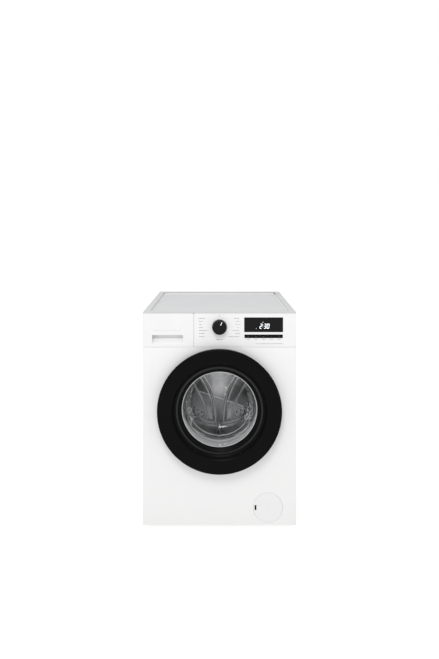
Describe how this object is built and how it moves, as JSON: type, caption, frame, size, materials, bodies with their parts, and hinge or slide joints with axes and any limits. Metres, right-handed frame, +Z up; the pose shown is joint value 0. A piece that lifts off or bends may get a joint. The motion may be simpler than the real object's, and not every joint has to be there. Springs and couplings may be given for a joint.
{
  "type": "front load washing machine",
  "caption": "Front loading washing machine: white steel cabinet, round black door with glass bowl, program knob, display with keys, detergent drawer and a floating tub and drum.",
  "frame": {"origin": "middle of the object's footprint on the floor, which is the bottom centre of its box", "axes": "+Z up, -Y out of the front with the door, +X to the right seen from the front"},
  "size_m": [0.597, 0.562, 0.845],
  "materials": {
    "white_paint": "smooth white powder coat",
    "zinc_steel": "galvanised sheet",
    "grey_plastic": "moulded, fine texture",
    "worktop_laminate": "fine pebbled laminate",
    "white_plastic": "satin white moulding",
    "black_glass": "gloss black window",
    "circuit_board": "solder mask",
    "tub_plastic": "filled polypropylene",
    "grey_rubber": "soft moulded rubber",
    "black_plastic": "moulded black",
    "spring_steel": "bright zinc plate",
    "black_gloss": "satin gloss black",
    "door_glass": "pressed glass",
    "tray_plastic": "light grey moulding",
    "blue_plastic": "moulded blue",
    "knob_black": "satin black",
    "key_black": "gloss black",
    "foot_rubber": "ribbed rubber",
    "concrete": "cast concrete",
    "cast_aluminium": "as cast",
    "belt_rubber": "ribbed belt",
    "drum_steel": "polished stainless",
    "rotor_steel": "laminated steel"
  },
  "bodies": {
    "cabinet": {"cabinet_shell": "white_paint", "rear_panel": "zinc_steel", "front_panel": "white_paint", "base_frame": "grey_plastic", "cross_rails": "zinc_steel", "worktop_panel": "worktop_laminate", "worktop_frame": "white_plastic", "control_fascia": "white_plastic", "display_window": "black_glass", "control_board": "circuit_board", "drawer_housing": "tub_plastic", "inlet_valve": "white_plastic", "inlet_hose": "grey_rubber", "dispenser_hose": "grey_rubber", "door_gasket": "grey_rubber", "door_lock": "grey_plastic", "pump_housing": "tub_plastic", "drain_hose": "grey_rubber", "sump_hose": "grey_rubber", "cable_gland": "black_plastic", "suspension_springs": "spring_steel", "damper_cylinders": "black_plastic", "case_screws": "spring_steel", "hinge_bracket": "zinc_steel", "hinge_pin": "spring_steel"},
    "door": {"door_bezel": "black_gloss", "door_frame": "grey_plastic", "door_glass": "door_glass", "hinge_arm": "zinc_steel"},
    "hook": {"latch_hook": "spring_steel"},
    "drawer": {"drawer_front": "white_plastic", "drawer_tray": "tray_plastic", "siphon_cap": "blue_plastic"},
    "release": {"drawer_release": "blue_plastic"},
    "knob": {"program_knob": "knob_black"},
    "key1": {"key_1": "key_black"},
    "key2": {"key_2": "key_black"},
    "key3": {"key_3": "key_black"},
    "key4": {"key_4": "key_black"},
    "key5": {"key_5": "key_black"},
    "plug": {"filter_plug": "grey_plastic"},
    "impeller": {"pump_impeller": "white_plastic"},
    "cover": {"filter_cover": "white_plastic"},
    "foot_fl": {"foot_front_left": "foot_rubber"},
    "foot_fr": {"foot_front_right": "foot_rubber"},
    "foot_rl": {"foot_rear_left": "foot_rubber"},
    "foot_rr": {"foot_rear_right": "foot_rubber"},
    "tub": {"tub_front": "tub_plastic", "tub_rear": "tub_plastic", "counterweights": "concrete", "bearings": "spring_steel", "heater": "drum_steel", "motor_housing": "cast_aluminium", "drive_belt": "belt_rubber", "damper_rods": "spring_steel"},
    "drum": {"drum_shell": "drum_steel", "drum_spider": "cast_aluminium", "drum_lifters": "drum_steel", "drum_pulley": "cast_aluminium"},
    "rotor": {"motor_rotor": "rotor_steel"}
  },
  "joints": [
    {"name": "door_hinge", "type": "hinge", "parent": "cabinet", "child": "door", "pos_m": [-0.229, -0.264, 0.472], "axis": [0, 0, -1], "range_deg": [0, 115]},
    {"name": "hook_pivot", "type": "hinge", "parent": "door", "child": "hook", "pos_m": [0.205, -0.255, 0.472], "axis": [0, 0, 1], "range_deg": [0, 5], "stiffness_Nm_per_rad": 0.6, "springref_deg": -8.59},
    {"name": "drawer_slide", "type": "slide", "parent": "cabinet", "child": "drawer", "axis": [0, -1, 0], "range_m": [0, 0.215]},
    {"name": "release_press", "type": "hinge", "parent": "drawer", "child": "release", "pos_m": [-0.19668, -0.202, 0.78], "axis": [-1, 0, 0], "range_deg": [0, 8], "stiffness_Nm_per_rad": 0.05, "springref_deg": -17.19},
    {"name": "knob_turn", "type": "hinge", "parent": "cabinet", "child": "knob", "pos_m": [0, -0.256, 0.789], "axis": [0, 1, 0], "continuous": true},
    {"name": "key_1_press", "type": "slide", "parent": "cabinet", "child": "key1", "axis": [0, 1, 0], "range_m": [0, 0.0015], "stiffness_N_per_m": 600, "springref_m": -0.001},
    {"name": "key_2_press", "type": "slide", "parent": "cabinet", "child": "key2", "axis": [0, 1, 0], "range_m": [0, 0.0015], "stiffness_N_per_m": 600, "springref_m": -0.001},
    {"name": "key_3_press", "type": "slide", "parent": "cabinet", "child": "key3", "axis": [0, 1, 0], "range_m": [0, 0.0015], "stiffness_N_per_m": 600, "springref_m": -0.001},
    {"name": "key_4_press", "type": "slide", "parent": "cabinet", "child": "key4", "axis": [0, 1, 0], "range_m": [0, 0.0015], "stiffness_N_per_m": 600, "springref_m": -0.001},
    {"name": "key_5_press", "type": "slide", "parent": "cabinet", "child": "key5", "axis": [0, 1, 0], "range_m": [0, 0.0015], "stiffness_N_per_m": 600, "springref_m": -0.001},
    {"name": "filter_turn", "type": "hinge", "parent": "cabinet", "child": "plug", "pos_m": [0.1876, -0.216, 0.089], "axis": [0, -1, 0], "range_deg": [0, 90]},
    {"name": "impeller_spin", "type": "hinge", "parent": "cabinet", "child": "impeller", "pos_m": [0.1876, -0.136, 0.089], "axis": [0, 1, 0], "continuous": true},
    {"name": "cover_pull", "type": "slide", "parent": "cabinet", "child": "cover", "axis": [0, -1, 0], "range_m": [0, 0.04]},
    {"name": "foot_fl_turn", "type": "hinge", "parent": "cabinet", "child": "foot_fl", "pos_m": [-0.255, -0.191, 0.01], "axis": [0, 0, 1], "continuous": true},
    {"name": "foot_fr_turn", "type": "hinge", "parent": "cabinet", "child": "foot_fr", "pos_m": [0.255, -0.191, 0.01], "axis": [0, 0, 1], "continuous": true},
    {"name": "foot_rl_turn", "type": "hinge", "parent": "cabinet", "child": "foot_rl", "pos_m": [-0.255, 0.221, 0.01], "axis": [0, 0, 1], "continuous": true},
    {"name": "foot_rr_turn", "type": "hinge", "parent": "cabinet", "child": "foot_rr", "pos_m": [0.255, 0.221, 0.01], "axis": [0, 0, 1], "continuous": true},
    {"name": "tub_float", "type": "slide", "parent": "cabinet", "child": "tub", "axis": [0, 0, 1], "range_m": [-0.008, 0.006], "stiffness_N_per_m": 9000, "springref_m": 0.0294, "deforming": ["suspension_springs", "door_gasket", "dispenser_hose", "sump_hose"]},
    {"name": "drum_spin", "type": "hinge", "parent": "tub", "child": "drum", "pos_m": [0, -0.046, 0.472], "axis": [0, 1, 0], "continuous": true},
    {"name": "rotor_spin", "type": "hinge", "parent": "tub", "child": "rotor", "pos_m": [0, 0.154, 0.115], "axis": [0, 1, 0], "continuous": true}
  ],
  "couplings": [
    {"joint": "rotor_spin", "follows": "drum_spin", "ratio": 14.107}
  ]
}
